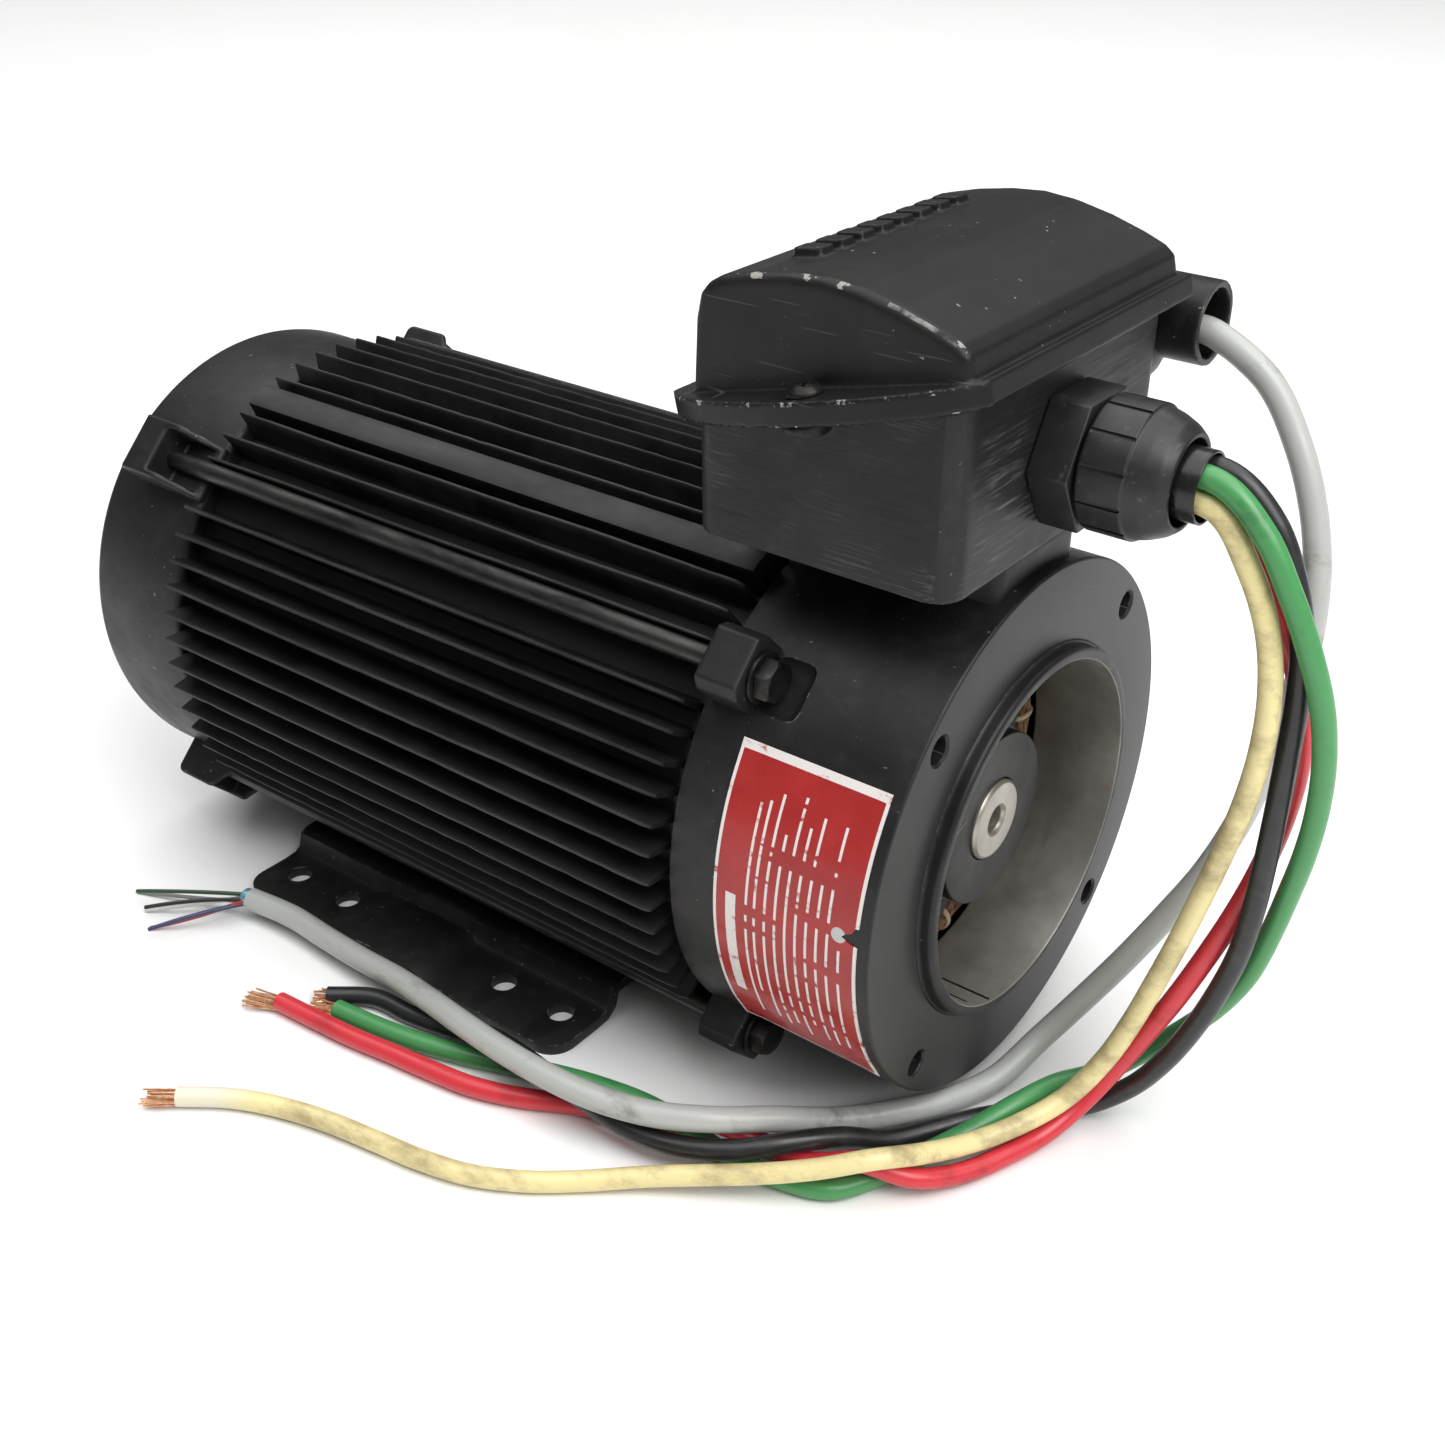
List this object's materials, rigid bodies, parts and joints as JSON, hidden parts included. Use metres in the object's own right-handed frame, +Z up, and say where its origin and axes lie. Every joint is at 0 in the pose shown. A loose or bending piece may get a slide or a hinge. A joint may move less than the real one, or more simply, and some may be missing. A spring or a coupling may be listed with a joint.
{
  "type": "electric motor",
  "caption": "Foot-mounted brushless electric motor with a finned round frame, a machined C-face with a raised pilot, a terminal box on top, and loose power and signal leads with bare ends.",
  "frame": {"origin": "middle of the motor's footprint on the surface it stands on, leads left out", "axes": "+X along the shaft towards the drive end, +Y across the motor, +Z up"},
  "size_m": [0.4091, 0.2607, 0.256],
  "materials": {
    "black_paint": "satin",
    "grey_paint": "satin",
    "bolt_steel": "satin",
    "bright_steel": "brushed",
    "lamination": "matte",
    "magnet": "satin",
    "winding_enamel": "satin",
    "brass": "satin",
    "phenolic": "matte",
    "black_nylon": "satin",
    "black_rubber": "satin",
    "label_vinyl": "satin",
    "jacket_grey": "satin",
    "jacket_black": "satin",
    "jacket_green": "satin",
    "jacket_cream": "satin",
    "jacket_red": "satin"
  },
  "bodies": {
    "stator": {"base_screw_1": "bolt_steel", "base_screw_2": "bolt_steel", "base_screw_3": "bolt_steel", "base_screw_4": "bolt_steel", "box_gasket": "black_rubber", "box_lid": "black_paint", "box_screw_1": "bolt_steel", "box_screw_2": "bolt_steel", "earth_screw": "brass", "elbow_body": "black_paint", "elbow_bush": "black_rubber", "feedback_stator": "phenolic", "frame_housing": "black_paint", "front_bearing_outer_race": "bright_steel", "front_end_bell": "grey_paint", "front_label": "label_vinyl", "gland_body": "black_nylon", "gland_cap": "black_nylon", "gland_sleeve": "black_rubber", "lead_black": "jacket_black", "lead_cream": "jacket_cream", "lead_green": "jacket_green", "lead_red": "jacket_red", "lid_screw_1": "bolt_steel", "lid_screw_2": "bolt_steel", "mounting_base": "black_paint", "rear_bearing_outer_race": "bright_steel", "rear_end_bell": "black_paint", "signal_cable": "jacket_grey", "stator_core": "lamination", "stator_winding": "winding_enamel", "terminal_block": "phenolic", "terminal_box_base": "grey_paint", "tie_bolt_1": "bolt_steel", "tie_bolt_2": "bolt_steel", "tie_bolt_3": "bolt_steel", "tie_bolt_4": "bolt_steel", "tie_washer_1": "bright_steel", "tie_washer_2": "bright_steel", "tie_washer_3": "bright_steel", "tie_washer_4": "bright_steel", "wave_spring": "bright_steel"},
    "rotor": {"shaft": "bright_steel", "shaft_hub_disc": "grey_paint", "rotor_core": "lamination", "rotor_magnet_1": "magnet", "rotor_magnet_2": "magnet", "rotor_magnet_3": "magnet", "rotor_magnet_4": "magnet", "rotor_magnet_5": "magnet", "rotor_magnet_6": "magnet", "rotor_band": "bolt_steel", "front_bearing_inner_race": "bright_steel", "rear_bearing_inner_race": "bright_steel", "feedback_rotor": "lamination"},
    "front_ball_cage": {"front_bearing_ball_cage": "brass"},
    "rear_ball_cage": {"rear_bearing_ball_cage": "brass"}
  },
  "joints": [
    {"name": "rotor_spin", "type": "hinge", "parent": "stator", "child": "rotor", "pos_m": [0, 0, 0.0889], "axis": [1, 0, 0], "continuous": true},
    {"name": "front_cage_spin", "type": "hinge", "parent": "stator", "child": "front_ball_cage", "pos_m": [0, 0, 0.0889], "axis": [1, 0, 0], "continuous": true},
    {"name": "rear_cage_spin", "type": "hinge", "parent": "stator", "child": "rear_ball_cage", "pos_m": [0, 0, 0.0889], "axis": [1, 0, 0], "continuous": true}
  ],
  "couplings": [
    {"joint": "front_cage_spin", "follows": "rotor_spin", "ratio": 0.4465},
    {"joint": "rear_cage_spin", "follows": "rotor_spin", "ratio": 0.4299}
  ]
}
